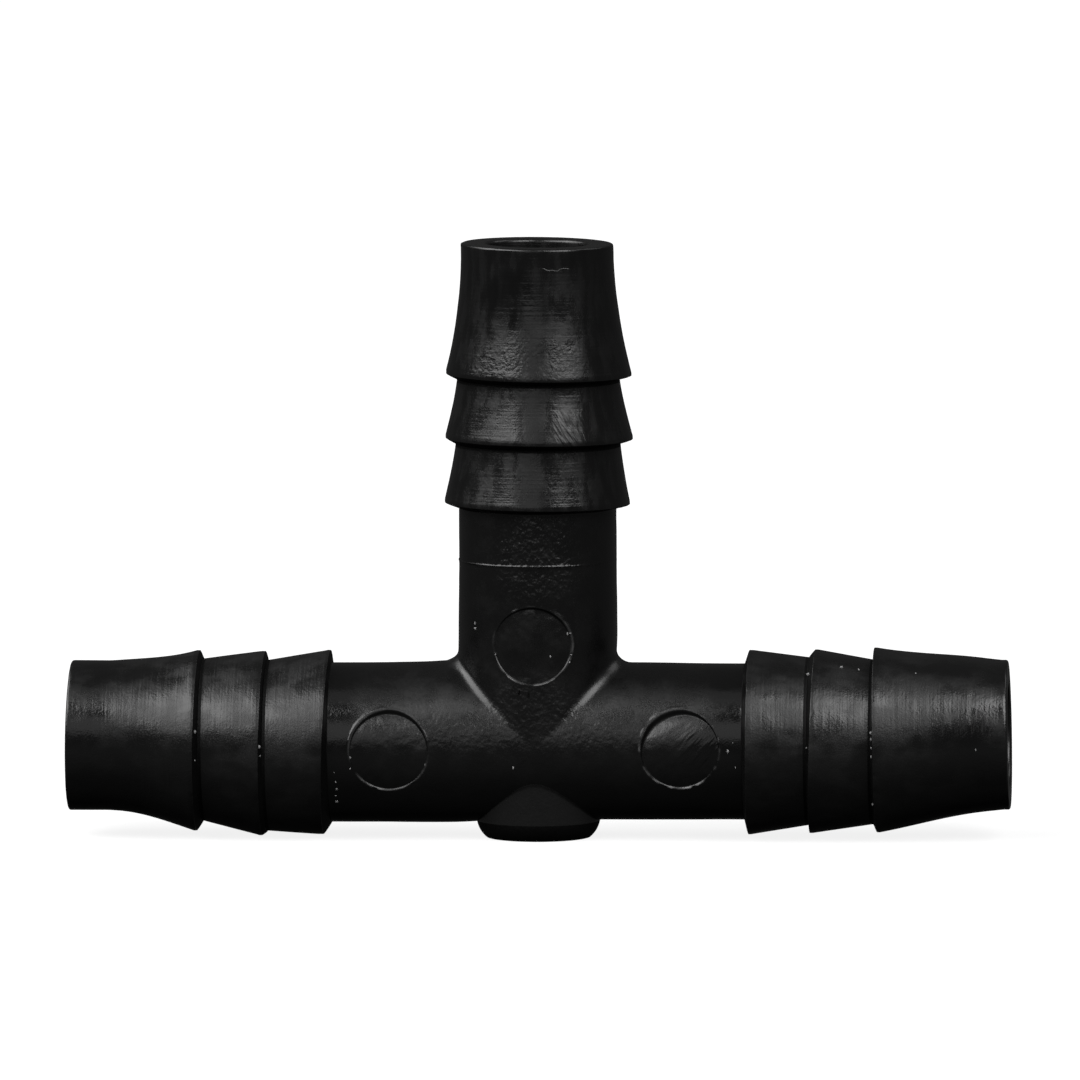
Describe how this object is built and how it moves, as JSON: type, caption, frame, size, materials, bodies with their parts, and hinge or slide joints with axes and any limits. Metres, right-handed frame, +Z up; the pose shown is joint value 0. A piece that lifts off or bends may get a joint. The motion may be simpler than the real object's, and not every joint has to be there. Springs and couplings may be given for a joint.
{
  "type": "barbed hose tee",
  "caption": "Black moulded plastic tee with three barbed hose spigots, equal through-bores, ejector-pin marks and a round gate boss under the run.",
  "frame": {"origin": "where the run's axis crosses the branch's axis", "axes": "+X along the run, +Z up the branch, and the ejector-pin marks face -Y"},
  "size_m": [0.076, 0.0148, 0.048],
  "materials": {
    "textured_plastic": "black moulded plastic with the fine grain of a spark-eroded mould, semi-matte",
    "smooth_plastic": "black moulded plastic from turned mould inserts, satin, with faint rings and scuffs"
  },
  "bodies": {
    "root": {"tee_hub": "textured_plastic", "branch_neck": "textured_plastic", "gate_boss": "textured_plastic", "left_inner_barb": "smooth_plastic", "left_middle_barb": "smooth_plastic", "left_tip_barb": "smooth_plastic", "right_inner_barb": "smooth_plastic", "right_middle_barb": "smooth_plastic", "right_tip_barb": "smooth_plastic", "branch_inner_barb": "smooth_plastic", "branch_middle_barb": "smooth_plastic", "branch_tip_barb": "smooth_plastic"}
  },
  "joints": []
}
